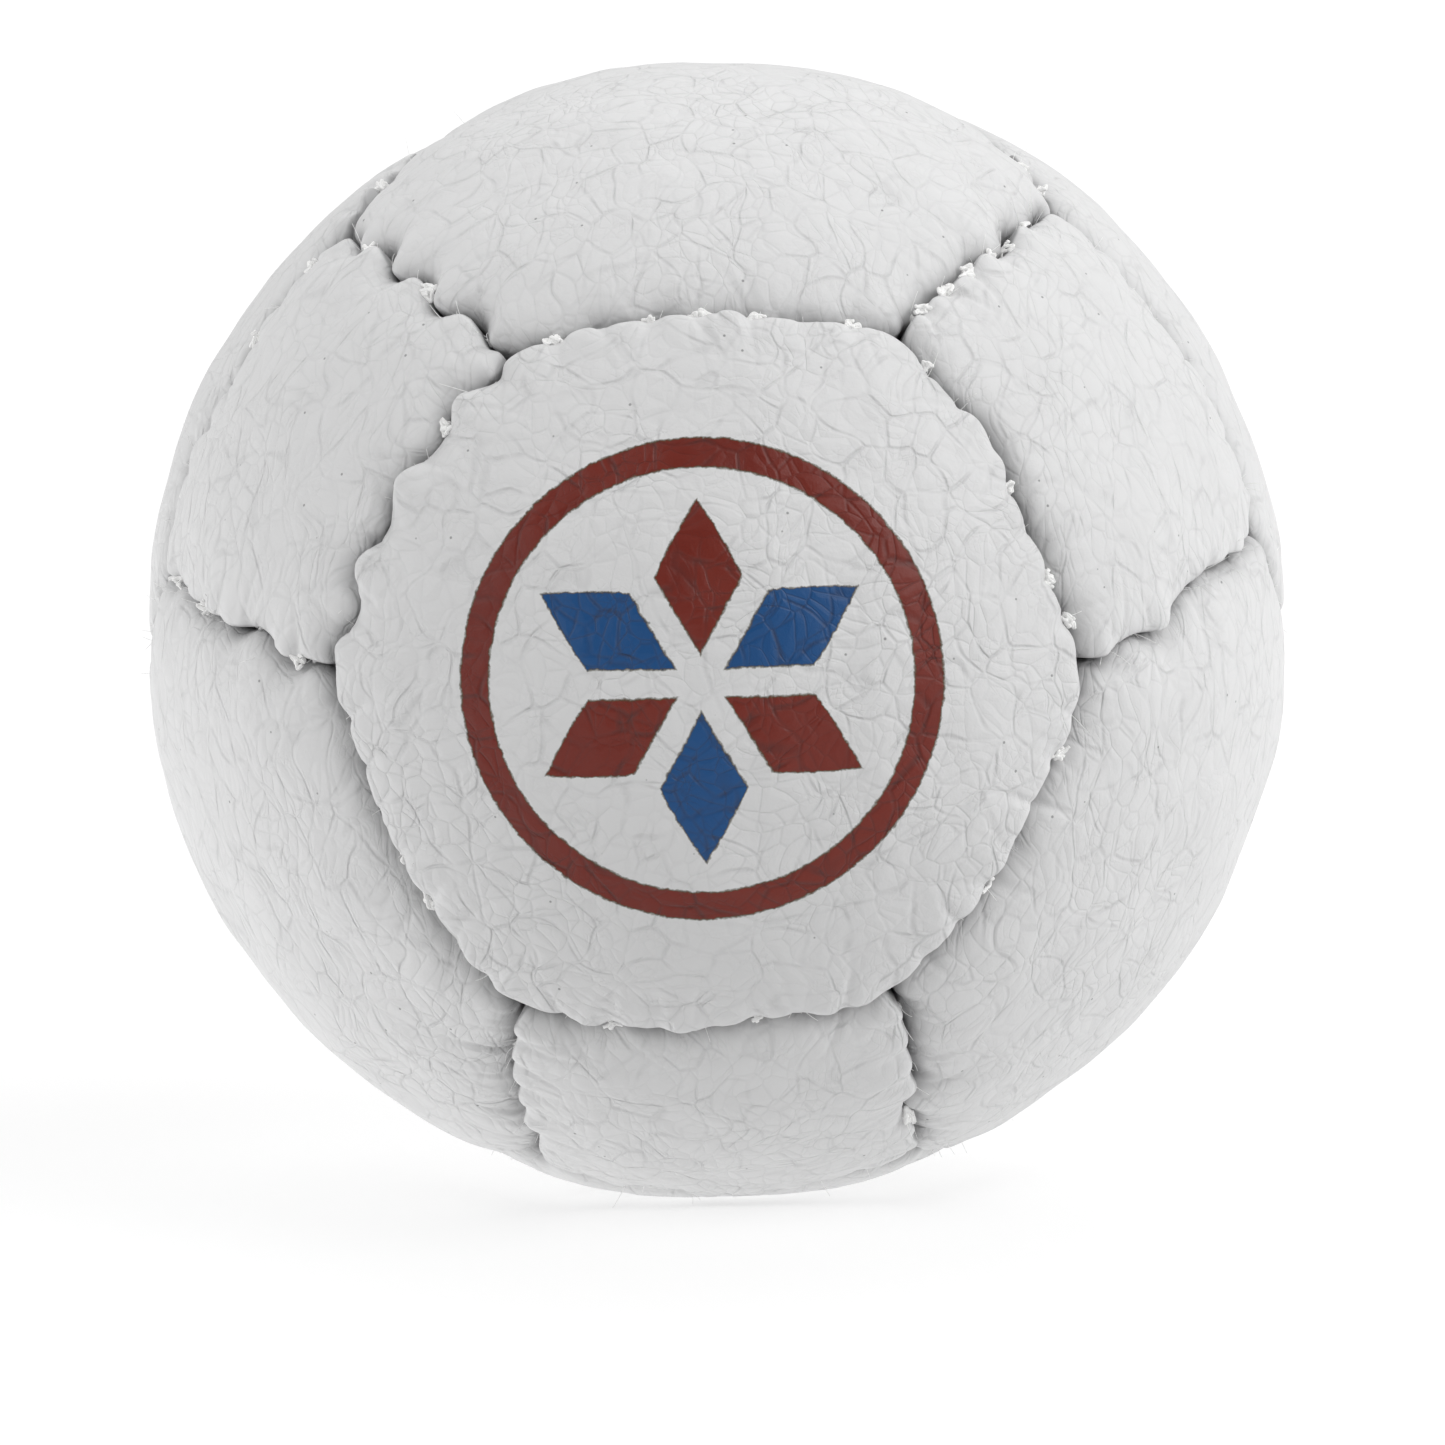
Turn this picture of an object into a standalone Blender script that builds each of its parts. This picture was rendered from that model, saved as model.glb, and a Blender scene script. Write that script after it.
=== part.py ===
"""A small hand-stitched training ball: fourteen synthetic leather panels, eight six-sided and six square, laid
out as a truncated octahedron. Each panel's edge is turned in as a seam allowance. Facing allowances are punched
and laced together with a ladder stitch, one length of thread to each seam, round a fill of dense granules.

Metres, +Z up. The origin is the middle of the flat on which the filled ball settles, and the printed panel faces -Y.
"""

import math
from itertools import permutations, product

import bmesh
import bpy
from mathutils import Matrix, Vector

# Driving dimensions
BALL_DIAMETER = 0.064
REST_DIAMETER = 0.012  # flat that the ball's own weight presses where it settles
LEATHER = 0.0011  # skin and fabric backing together
FOLD_INNER_RADIUS = 0.0005  # inside radius where the edge of a panel turns in
ALLOWANCE = 0.0034  # turned-in edge, below the fold
SEAM_GAP = 0.0003  # between the two allowances of a seam
THREAD_DIAMETER = 0.0005
STITCH_PITCH = 0.00235  # from hole to hole
STITCH_DEPTH = 0.0009  # below the fold, to the middle of a hole
HOLE_CLEARANCE = 0.00015  # thread to the side of its hole
CLEARANCE = 0.0003  # thread to leather, and fill to what surrounds it

# Mesh density
SKIN_SEGMENTS = 4  # along one seam of a panel
FOLD_SEGMENTS = 2
FILL_SEGMENTS = 3
STITCH_SIDES = 4  # an awl's diamond, for the thread and for its hole

# Sizes that follow
RADIUS = BALL_DIAMETER / 2
CENTRE_HEIGHT = math.sqrt(RADIUS**2 - (REST_DIAMETER / 2) ** 2)
FOLD_RADIUS = LEATHER + FOLD_INNER_RADIUS
ALLOWANCE_INSET = SEAM_GAP / 2
FOLD_INSET = ALLOWANCE_INSET + FOLD_RADIUS
FOLD_END_RADIUS = RADIUS - FOLD_RADIUS
STITCH_RADIUS = FOLD_END_RADIUS - STITCH_DEPTH
RAIL_INSET = ALLOWANCE_INSET + LEATHER + CLEARANCE + THREAD_DIAMETER / 2
HOLE_RADIUS = THREAD_DIAMETER / 2 + HOLE_CLEARANCE / math.cos(math.pi / STITCH_SIDES)
FILL_RADIUS = RADIUS - LEATHER - CLEARANCE
FILL_INSET = RAIL_INSET + THREAD_DIAMETER / 2 + CLEARANCE
FILL_FLOOR_RADIUS = FOLD_END_RADIUS - ALLOWANCE - CLEARANCE
CORNER_MARGIN = RAIL_INSET + (THREAD_DIAMETER + CLEARANCE) / math.sqrt(2)  # from a corner to the nearest hole
SAME = 1e-6  # points closer than this are one point

# The three square panels that surround the printed one are at right angles to each other, and set the ball's axes.
LOW = Vector((0, -1 / math.sqrt(3), -math.sqrt(2 / 3)))
RIGHT = Vector((1 / math.sqrt(2), -1 / math.sqrt(3), 1 / math.sqrt(6)))
LEFT = Vector((-1 / math.sqrt(2), -1 / math.sqrt(3), 1 / math.sqrt(6)))

# Each panel faces this many times LOW, RIGHT and LEFT.
PANELS = {
    "front": (1, 1, 1),
    "top": (-1, 1, 1),
    "low_left": (1, -1, 1),
    "low_right": (1, 1, -1),
    "base": (1, -1, -1),
    "high_right": (-1, 1, -1),
    "high_left": (-1, -1, 1),
    "back": (-1, -1, -1),
    "square_low": (1, 0, 0),
    "square_right": (0, 1, 0),
    "square_left": (0, 0, 1),
    "square_back_high": (-1, 0, 0),
    "square_back_left": (0, -1, 0),
    "square_back_right": (0, 0, -1),
}


def ball_axes(low, right, left):
    return (LOW * low + RIGHT * right + LEFT * left).normalized()


def all_corners():
    """The 24 directions in which two six-sided panels and a square one meet."""
    signed = {
        tuple(size * sign for size, sign in zip(order, signs))
        for order in permutations((0, 1, 2))
        for signs in product((-1, 1), repeat=3)
    }
    return [ball_axes(*place) for place in sorted(signed)]


CORNERS = all_corners()


def corners_of(facing):
    """Indices in CORNERS of one panel's corners, anticlockwise seen from outside."""
    nearest = max(corner.dot(facing) for corner in CORNERS)
    found = [i for i, corner in enumerate(CORNERS) if corner.dot(facing) > nearest - SAME]
    across = (CORNERS[found[0]] - facing * nearest).normalized()
    up = facing.cross(across)
    return sorted(found, key=lambda i: math.atan2(CORNERS[i].dot(up), CORNERS[i].dot(across)))


def sides_of(corners):
    """Pairs of corner indices, one for each seam round a panel."""
    return list(zip(corners, corners[1:] + corners[:1]))


def seam_wall(side):
    """Normal of the plane through the ball's centre that holds a seam, pointing into the panel on its left."""
    return CORNERS[side[0]].cross(CORNERS[side[1]]).normalized()


def seated(point, walls, inset, radius):
    """The point moved to stand inset from the seam planes it runs along, and radius from the ball's centre."""
    nearest = min(point.dot(wall) for wall in walls)
    beside = [wall for wall in walls if point.dot(wall) < nearest + SAME]
    if len(beside) == 1:
        aside = beside[0] * inset
        along = point - beside[0] * point.dot(beside[0])
    else:
        aside = (beside[0] + beside[1]) * (inset / (1 + beside[0].dot(beside[1])))
        along = beside[0].cross(beside[1])
        along = along if along.dot(point) > 0 else -along
    return aside + along.normalized() * math.sqrt(radius**2 - aside.length_squared)


def make_patch(corners, rings, segments):
    """One panel's cap of the ball, then a strip down to each further (inset, radius) ring.
    Returns the faces of the last strip as well."""
    walls = [seam_wall(side) for side in sides_of(corners)]
    inset, radius = rings[0]
    bm = bmesh.new()
    outline = [bm.verts.new(CORNERS[corner] * radius) for corner in corners]
    bmesh.ops.poke(bm, faces=[bm.faces.new(outline)])
    bmesh.ops.subdivide_edges(bm, edges=bm.edges, cuts=segments - 1, use_grid_fill=True)
    for vert in bm.verts:
        vert.co = seated(vert.co, walls, inset, radius) if vert.is_boundary else vert.co.normalized() * radius
    rim = [edge for edge in bm.edges if edge.is_boundary]
    strip = []
    for inset, radius in rings[1:]:
        made = bmesh.ops.extrude_edge_only(bm, edges=rim)["geom"]
        strip = [item for item in made if isinstance(item, bmesh.types.BMFace)]
        rim = [edge for edge in bm.edges if edge.is_boundary]
        for vert in {vert for edge in rim for vert in edge.verts}:
            vert.co = seated(vert.co, walls, inset, radius)
    return bm, strip


def flatten_below(bm, height):
    """Cuts the surface at this height and lifts what is below on to it, as the floor does."""
    everything = [*bm.verts, *bm.edges, *bm.faces]
    floor = Vector((0, 0, height))
    bmesh.ops.bisect_plane(bm, geom=everything, dist=SAME, plane_co=floor, plane_no=(0, 0, 1))
    for vert in bm.verts:
        vert.co.z = max(vert.co.z, height)


def object_from(bm, name, material, collection):
    bmesh.ops.recalc_face_normals(bm, faces=bm.faces)
    mesh = bpy.data.meshes.new(name)
    bm.to_mesh(mesh)
    bm.free()
    mesh.shade_smooth()
    obj = bpy.data.objects.new(name, mesh)
    collection.objects.link(obj)
    if material:
        mesh.materials.append(material)
    return obj


def fold_rings():
    """The rings of a panel: the edge of its cap, round the fold, and the end of the turned-in allowance."""
    turn = [math.pi / 2 * step / FOLD_SEGMENTS for step in range(FOLD_SEGMENTS + 1)]
    rings = [
        (FOLD_INSET - FOLD_RADIUS * math.sin(angle), FOLD_END_RADIUS + FOLD_RADIUS * math.cos(angle))
        for angle in turn
    ]
    return rings + [(ALLOWANCE_INSET, FOLD_END_RADIUS - ALLOWANCE)]


def stitch_turns():
    """Angles along a seam, from its middle, at which the thread crosses it."""
    seam_angle = CORNERS[corners_of(LOW)[0]].angle(CORNERS[corners_of(LOW)[1]])
    seam_length = seam_angle * STITCH_RADIUS
    count = math.floor((seam_length - 2 * CORNER_MARGIN) / STITCH_PITCH) + 1
    return [(i - (count - 1) / 2) * STITCH_PITCH / STITCH_RADIUS for i in range(count)]


def stitch_frames(side):
    """For each stitch of a seam, the direction outwards and the direction across the seam."""
    across = seam_wall(side)
    middle = (CORNERS[side[0]] + CORNERS[side[1]]).normalized()
    return [(Matrix.Rotation(turn, 3, across) @ middle, across) for turn in stitch_turns()]


def make_punch(name, side, cutters):
    """Cutter for every stitch hole of a seam, through both allowances."""
    bm = bmesh.new()
    for outwards, across in stitch_frames(side):
        along = outwards.cross(across)
        turn = Matrix((outwards, along, across)).transposed().to_4x4()
        place = Matrix.Translation(outwards * STITCH_RADIUS)
        bmesh.ops.create_cone(
            bm,
            cap_ends=True,
            segments=STITCH_SIDES,
            radius1=HOLE_RADIUS,
            radius2=HOLE_RADIUS,
            depth=2 * RAIL_INSET,
            matrix=place @ turn,
        )
    punch = object_from(bm, name, None, cutters)
    punch.hide_render = True
    punch.display_type = "WIRE"
    return punch


def make_panel(name, facing, punches, material, collection):
    """A panel with its edge turned in all round and a hole in the allowance for each stitch."""
    corners = corners_of(facing)
    bm, allowance = make_patch(corners, fold_rings(), SKIN_SEGMENTS)
    for side in sides_of(corners):
        wall = seam_wall(side)
        allowance = [face for face in allowance if face.is_valid]
        beside = [face for face in allowance if abs(face.calc_center_median().dot(wall) - ALLOWANCE_INSET) < SAME]
        bmesh.ops.dissolve_faces(bm, faces=beside)
    flatten_below(bm, -CENTRE_HEIGHT)
    panel = object_from(bm, name, material, collection)
    shell = panel.modifiers.new("leather", "SOLIDIFY")
    shell.thickness = LEATHER
    shell.offset = -1
    shell.use_even_offset = True
    for side in sides_of(corners):
        holes = panel.modifiers.new("stitch_holes", "BOOLEAN")
        holes.operation = "DIFFERENCE"
        holes.object = punches[frozenset(side)]
    return panel


def make_thread(name, side, material, collection):
    """One seam's thread: it crosses at each stitch and runs behind one allowance, then the other, to the next."""
    points = []
    hand = 1
    for outwards, across in stitch_frames(side):
        points.append(outwards * STITCH_RADIUS + across * RAIL_INSET * hand)
        points.append(outwards * STITCH_RADIUS - across * RAIL_INSET * hand)
        hand = -hand
    curve = bpy.data.curves.new(name, "CURVE")
    curve.dimensions = "3D"
    curve.bevel_depth = THREAD_DIAMETER / 2
    curve.bevel_resolution = 0
    curve.use_fill_caps = True
    spline = curve.splines.new("POLY")
    spline.points.add(len(points) - 1)
    for point, place in zip(spline.points, points):
        point.co = (*place, 1)
    curve.materials.append(material)
    thread = bpy.data.objects.new(name, curve)
    collection.objects.link(thread)
    return thread


def make_fill(name, material, collection):
    """The granules as one body: a lobe behind each panel, and a groove where each seam's allowances reach in."""
    bm = bmesh.new()
    rings = [
        (FILL_INSET, FILL_RADIUS),
        (FILL_INSET, FILL_FLOOR_RADIUS),
        (0, FILL_FLOOR_RADIUS),
    ]
    for place in PANELS.values():
        patch, _ = make_patch(corners_of(ball_axes(*place)), rings, FILL_SEGMENTS)
        lobe = bpy.data.meshes.new("lobe")
        patch.to_mesh(lobe)
        patch.free()
        bm.from_mesh(lobe)
        bpy.data.meshes.remove(lobe)
    bmesh.ops.remove_doubles(bm, verts=bm.verts, dist=SAME)
    flatten_below(bm, -CENTRE_HEIGHT + LEATHER + CLEARANCE)
    return object_from(bm, name, material, collection)


def make_material(name, colour, roughness):
    material = bpy.data.materials.new(name)
    material.use_nodes = True
    surface = material.node_tree.nodes["Principled BSDF"]
    surface.inputs["Base Color"].default_value = (*colour, 1)
    surface.inputs["Roughness"].default_value = roughness
    surface.inputs["Metallic"].default_value = 0
    return material


def make_collection(name):
    collection = bpy.data.collections.new(name)
    bpy.context.scene.collection.children.link(collection)
    return collection


def clear_scene():
    for obj in list(bpy.data.objects):
        bpy.data.objects.remove(obj)


def main():
    clear_scene()
    parts = make_collection("stitched_ball")
    cutters = make_collection("cutters")
    leather = make_material("cover_leather", (0.78, 0.78, 0.78), 0.5)
    printed = make_material("printed_leather", (0.74, 0.74, 0.74), 0.5)
    polyester = make_material("thread", (0.9, 0.9, 0.88), 0.6)
    granules = make_material("granules", (0.25, 0.26, 0.27), 0.6)

    panels_beside = {}
    for panel, place in PANELS.items():
        for side in sides_of(corners_of(ball_axes(*place))):
            panels_beside.setdefault(frozenset(side), []).append((panel, side))

    made = []
    punches = {}
    for seam, ((first, side), (second, _)) in panels_beside.items():
        punches[seam] = make_punch(f"punch_{first}_{second}", side, cutters)
        made.append(make_thread(f"thread_{first}_to_{second}", side, polyester, parts))
    for panel, place in PANELS.items():
        material = printed if panel == "front" else leather
        made.append(make_panel(f"panel_{panel}", ball_axes(*place), punches, material, parts))
    made.append(make_fill("granule_fill", granules, parts))

    centre = bpy.data.objects.new("ball_centre", None)
    centre.location.z = CENTRE_HEIGHT
    parts.objects.link(centre)
    for obj in [*made, *punches.values()]:
        obj.parent = centre


main()
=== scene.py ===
"""Looks of a small hand-stitched training ball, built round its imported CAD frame.

Fourteen grained white leather panels are laced together along wavy turned-in seams, over packed granules.
Shapes are worked out in millimetres about the ball's centre, then set down in metres in the CAD's frame.
"""

import math
from itertools import permutations, product

import bmesh
import bpy
import numpy as np
from mathutils import Matrix, Vector


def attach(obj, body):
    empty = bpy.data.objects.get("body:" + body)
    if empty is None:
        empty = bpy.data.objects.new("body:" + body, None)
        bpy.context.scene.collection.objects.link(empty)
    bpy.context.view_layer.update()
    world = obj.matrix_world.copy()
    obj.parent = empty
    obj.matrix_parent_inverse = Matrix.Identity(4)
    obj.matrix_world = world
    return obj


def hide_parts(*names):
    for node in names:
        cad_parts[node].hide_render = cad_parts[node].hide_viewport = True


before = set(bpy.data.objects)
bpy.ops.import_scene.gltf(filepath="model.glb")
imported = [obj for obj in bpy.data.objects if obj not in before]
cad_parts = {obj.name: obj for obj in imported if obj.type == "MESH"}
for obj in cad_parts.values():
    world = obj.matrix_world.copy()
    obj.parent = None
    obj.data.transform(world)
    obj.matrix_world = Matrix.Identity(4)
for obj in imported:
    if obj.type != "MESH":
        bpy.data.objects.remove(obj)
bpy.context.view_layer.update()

# Sizes of the ball, as the CAD model has them, in millimetres
RADIUS = 32.0
REST_RADIUS = 6.0
CENTRE_HEIGHT = math.sqrt(RADIUS**2 - REST_RADIUS**2)
MM = 0.001

# Seams and stitches, in millimetres
STITCHES = 7
STITCH_PITCH = 2.55
THREAD_RADIUS = 0.24
THREAD_DEPTH = 1.75  # of the thread's middle, below the ball's surface
LOOSE_END_DEPTH = 0.6
FIBRE_DEPTH = 1.55
FIBRE_RADIUS, FIBRE_TIP_RADIUS = 0.035, 0.012
SEAM_HALF_GAP = 0.08
LOBE = 0.36  # how far the leather swells over a seam between two stitches
FRONT_LOBE = 0.2
FRONT_BOW = 0.6  # how far the front panel's sides bulge outwards
RISE = 0.1  # of a panel over its neighbour, for each rank that it is higher
FRONT_RANK = 2.1  # the squares' rank is 1, and the other hexagons' 0
EVEN_LIFT = 0.6  # between panels of one rank, in parts of RISE, either way
WAVY = (("front", "square_left"), ("top", "square_left"))  # seams that swell to one side and the other
SMOOTH = (("front", "low_left"), ("front", "low_right"))  # seams that swell less
SMOOTH_SHARE = 0.5

# How many of the stitches show loose ends of their thread, from 0 to 1
SHOWING = {("front", "top"): 0.5, ("top", "square_right"): 0.9, ("front", "square_right"): 0.45}
SHOWING_ELSEWHERE = 0.2

# Panels, in millimetres
SEGMENTS = 110  # along one seam of a panel
LEATHER = 0.9
FOLD_SOFTNESS = 0.62  # how wide the edge's roll into its seam is
TIGHTEST, SLACKEST = 0.42, 1.9  # the roll's width, against the usual one
FOLD_REACH = 0.9  # of the fine rings round the fold, along the leather
FOLD_RINGS = 12
ALLOWANCE = 3.0
ALLOWANCE_RINGS = 5
INNER_RINGS = 10
INNER_DROP = 0.5  # of the inner face below the leather's own thickness
INNER_EDGE_DROP = 1.0  # and how much further it falls at the edge
INNER_EDGE = 0.96  # about where the inner face ends, from the seam line
INNER_EDGE_REACH = 1.5
CORNER_ROUNDING = 0.42
CROWN = 0.05
EDGE_DROP = 0.42  # of the skin towards its seams
FRONT_EDGE_DROP = 0.24
EDGE_DROP_REACH = 2.3
LUMPS = ((0.06, 15), (0.05, 6.5), (0.016, 2.6))  # height and wavelength of each set of low waves
CREASES = 3  # at each stitch
DIMPLE_LENGTH, DIMPLE_REACH = 0.55, 0.9  # of the hollow at a stitch, along the seam and into the panel
RIPPLE_HEIGHT = 0.014
RIPPLES = (1.35, 0.83)  # lengths, along the seam
RIPPLE_REACH = 1.5
CREASE_LIMIT = 7.0  # into the panel, past the longest crease
SHADE_REACH = 0.7  # of the painted seam shade, a soft grey beside a seam
LINE_REACH = 0.09  # of the painted dark shade line in it

# The ball's own axes, at right angles to each other: the middles of the squares round the front panel
LOW = np.array((0, -1 / math.sqrt(3), -math.sqrt(2 / 3)))
RIGHT = np.array((1 / math.sqrt(2), -1 / math.sqrt(3), 1 / math.sqrt(6)))
LEFT = np.array((-1 / math.sqrt(2), -1 / math.sqrt(3), 1 / math.sqrt(6)))

# Each panel's middle, as parts of LOW, RIGHT and LEFT
PANELS = {
    "front": (1, 1, 1),
    "top": (-1, 1, 1),
    "low_left": (1, -1, 1),
    "low_right": (1, 1, -1),
    "base": (1, -1, -1),
    "high_right": (-1, 1, -1),
    "high_left": (-1, -1, 1),
    "back": (-1, -1, -1),
    "square_low": (1, 0, 0),
    "square_right": (0, 1, 0),
    "square_left": (0, 0, 1),
    "square_back_high": (-1, 0, 0),
    "square_back_left": (0, -1, 0),
    "square_back_right": (0, 0, -1),
}


def unit(v):
    return v / np.linalg.norm(v, axis=-1, keepdims=True)


def ball_axes(low, right, left):
    return unit(LOW * low + RIGHT * right + LEFT * left)


def all_corners():
    signed = {
        tuple(size * sign for size, sign in zip(order, signs))
        for order in permutations((0, 1, 2))
        for signs in product((-1, 1), repeat=3)
    }
    return np.array([ball_axes(*place) for place in sorted(signed)])


CORNERS = all_corners()


def corners_of(facing):
    """Indices of one panel's corners, anticlockwise seen from outside."""
    near = CORNERS @ facing
    found = [int(i) for i in np.nonzero(near > near.max() - 1e-6)[0]]
    across = unit(CORNERS[found[0]] - facing * near.max())
    up = np.cross(facing, across)
    return sorted(found, key=lambda i: math.atan2(CORNERS[i] @ up, CORNERS[i] @ across))


SEAM_LENGTH = RADIUS * math.acos(float(CORNERS[corners_of(LOW)[0]] @ CORNERS[corners_of(LOW)[1]]))
STITCH_PLACES = (np.arange(STITCHES) - (STITCHES - 1) / 2) * STITCH_PITCH


class Seam:
    """The wavy line where two panels meet: between stitches, the higher one swells over the other."""

    def __init__(self, a, b, seed):
        self.wall = unit(np.cross(CORNERS[a], CORNERS[b]))
        self.middle = unit(CORNERS[a] + CORNERS[b])
        self.along = unit(CORNERS[b] - CORNERS[a])
        self.rng = np.random.default_rng(seed)
        self.bow = self.rng.uniform(-0.15, 0.15)
        between = (np.arange(STITCHES + 1) - STITCHES / 2) * STITCH_PITCH
        self.swells = between + self.rng.normal(0, 0.15, STITCHES + 1)
        self.lobes = LOBE * self.rng.uniform(-0.5, 1.5, STITCHES + 1)
        self.lift = 0.0
        self.sway = self.rng.uniform(-0.16, 0.16, 3)
        self.showing = np.zeros(STITCHES, bool)

    def place(self, n):
        """Distance along the seam from its middle."""
        s = RADIUS * np.arctan2(n @ self.along, n @ self.middle)
        return np.clip(s, -SEAM_LENGTH / 2, SEAM_LENGTH / 2)

    def wave(self, s):
        swelling = (s[..., None] - self.swells) / (0.45 * STITCH_PITCH)
        inner = np.clip((SEAM_LENGTH / 2 - np.abs(s)) / 1.8, 0, 1)
        return (self.lobes * np.exp(-(swelling**2))).sum(-1) * inner**2 * (3 - 2 * inner)

    def offset(self, s):
        """How far the seam line stands from its plane, on the side of the first panel."""
        along = s / SEAM_LENGTH + 0.5
        sway = sum(size * np.sin(np.pi * (i + 2) * along) for i, size in enumerate(self.sway))
        return self.bow * (1 - (2 * s / SEAM_LENGTH) ** 2) + sway + self.wave(s)


SEAMS = {}
SEAM_PANELS = {}
for panel_name, panel_place in PANELS.items():
    ring = corners_of(ball_axes(*panel_place))
    for pair in zip(ring, ring[1:] + ring[:1]):
        key = tuple(sorted(pair))
        if key not in SEAMS:
            SEAMS[key] = Seam(*key, seed=1000 + len(SEAMS))
        SEAM_PANELS.setdefault(key, []).append((panel_name, 1 if pair == key else -1))
for key, beside in SEAM_PANELS.items():
    for panel_name, hand in beside:
        rank = FRONT_RANK if panel_name == "front" else float(panel_name.startswith("square"))
        SEAMS[key].lift += hand * RISE * rank
        if panel_name == "front":
            SEAMS[key].bow = -hand * FRONT_BOW
            SEAMS[key].lobes *= FRONT_LOBE / LOBE
    if not SEAMS[key].lift:
        SEAMS[key].lift = SEAMS[key].rng.choice((-EVEN_LIFT, EVEN_LIFT)) * RISE
    SEAMS[key].lobes *= -np.sign(SEAMS[key].lift)
    pair = tuple(panel_name for panel_name, _ in beside)
    if pair in WAVY:
        to_and_fro = (-1.0) ** np.arange(STITCHES + 1)
        SEAMS[key].lobes = to_and_fro * LOBE * SEAMS[key].rng.uniform(0.5, 1.4, STITCHES + 1)
    if pair in SMOOTH:
        SEAMS[key].lobes *= SMOOTH_SHARE
    SEAMS[key].showing = SEAMS[key].rng.uniform(size=STITCHES) < SHOWING.get(pair, SHOWING_ELSEWHERE)


def smooth_waves(points, wavelength, seed, count=28):
    """Smooth noise of about unit size: a sum of plane waves in random directions."""
    rng = np.random.default_rng(seed)
    directions = unit(rng.normal(size=(count, 3)))
    numbers = 2 * np.pi / (wavelength * rng.uniform(0.75, 1.5, count))
    phases = rng.uniform(0, 2 * np.pi, count)
    return np.sin(points @ (directions * numbers[:, None]).T + phases).sum(1) * math.sqrt(2 / count)


class Side:
    """One side of a panel: its seam, seen from the panel, and the leather's own creases there."""

    def __init__(self, pair, seed):
        key = tuple(sorted(pair))
        self.seam = SEAMS[key]
        self.hand = 1 if pair == key else -1
        self.wall = self.seam.wall * self.hand
        rng = np.random.default_rng(seed)
        count = STITCHES * CREASES
        self.crease_start = np.repeat(STITCH_PLACES, CREASES) + rng.normal(0, 0.35, count)
        self.crease_lean = rng.normal(0, 0.38, count)
        self.crease_curl = rng.normal(0, 0.05, count)
        self.crease_depth = rng.uniform(0.02, 0.1, count)
        self.crease_length = rng.uniform(1.2, 5.5, count)
        self.crease_width = rng.uniform(0.13, 0.24, count)
        self.dimple = rng.uniform(0.1, 0.26, STITCHES) + 0.2 * self.seam.showing
        self.ripple_phase = rng.uniform(0, 2 * np.pi, 4)
        self.lift = self.hand * self.seam.lift

    def depth(self, n):
        """Distance into the panel from the seam line, and the place along it."""
        s = self.seam.place(n)
        return RADIUS * np.arcsin(np.clip(n @ self.wall, -1, 1)) - self.hand * self.seam.offset(s), s

    def softness(self, s):
        """How widely the leather rolls over here: tight where it leans over its neighbour."""
        return np.clip(1.0 + 1.2 * self.hand * self.seam.wave(s) - 3.2 * self.lift, TIGHTEST, SLACKEST)

    def relief(self, d, s):
        """Height that the seam adds to the leather beside it."""
        d = np.maximum(d, 0)
        taper = np.clip((SEAM_LENGTH / 2 - np.abs(s)) / 1.5, 0, 1)
        high = self.lift * np.exp(-((d / 2.2) ** 1.5))
        high = high - 0.45 * self.hand * self.seam.wave(s) * np.exp(-((d / 1.3) ** 1.5))
        for place, size in zip(STITCH_PLACES, self.dimple):
            along = np.exp(-(((s - place) / DIMPLE_LENGTH) ** 2))
            high = high - size * along * np.exp(-((d / DIMPLE_REACH) ** 1.3))
        phases = self.ripple_phase
        ripple = np.sin(2 * np.pi * s / RIPPLES[0] + phases[0] + 1.2 * np.sin(s * 0.9 + phases[1]))
        ripple += 0.7 * np.sin(2 * np.pi * s / RIPPLES[1] + phases[2] + 1.1 * np.sin(s + phases[3]))
        high = high + RIPPLE_HEIGHT * ripple * np.exp(-d / RIPPLE_REACH)
        near = d < CREASE_LIMIT
        for start, lean, curl, size, length, width in zip(
            self.crease_start,
            self.crease_lean,
            self.crease_curl,
            self.crease_depth,
            self.crease_length,
            self.crease_width,
        ):
            dn, sn = d[near], s[near]
            away = sn - start - lean * dn - curl * dn**2
            line = np.exp(-((away / width) ** 2)) * np.clip(1.6 - 1.6 * dn / length, 0, 1)
            high[near] -= size * line
        return high * taper


def fold_profile():
    """Inset and drop of the outer skin against length along it, from the top of the allowance."""
    u = np.linspace(0, 9, 1801)
    slope = np.pi / 2 * np.exp(-((u / FOLD_SOFTNESS) ** 1.25))
    step = u[1] - u[0]
    inset = np.concatenate(([0], np.cumsum((np.cos(slope[1:]) + np.cos(slope[:-1])) * step / 2)))
    fall = np.concatenate(([0], np.cumsum((np.sin(slope[1:]) + np.sin(slope[:-1])) * step / 2)))
    return u, inset, fall[-1] - fall


FOLD_LENGTH, FOLD_INSET, FOLD_DROP = fold_profile()


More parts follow.
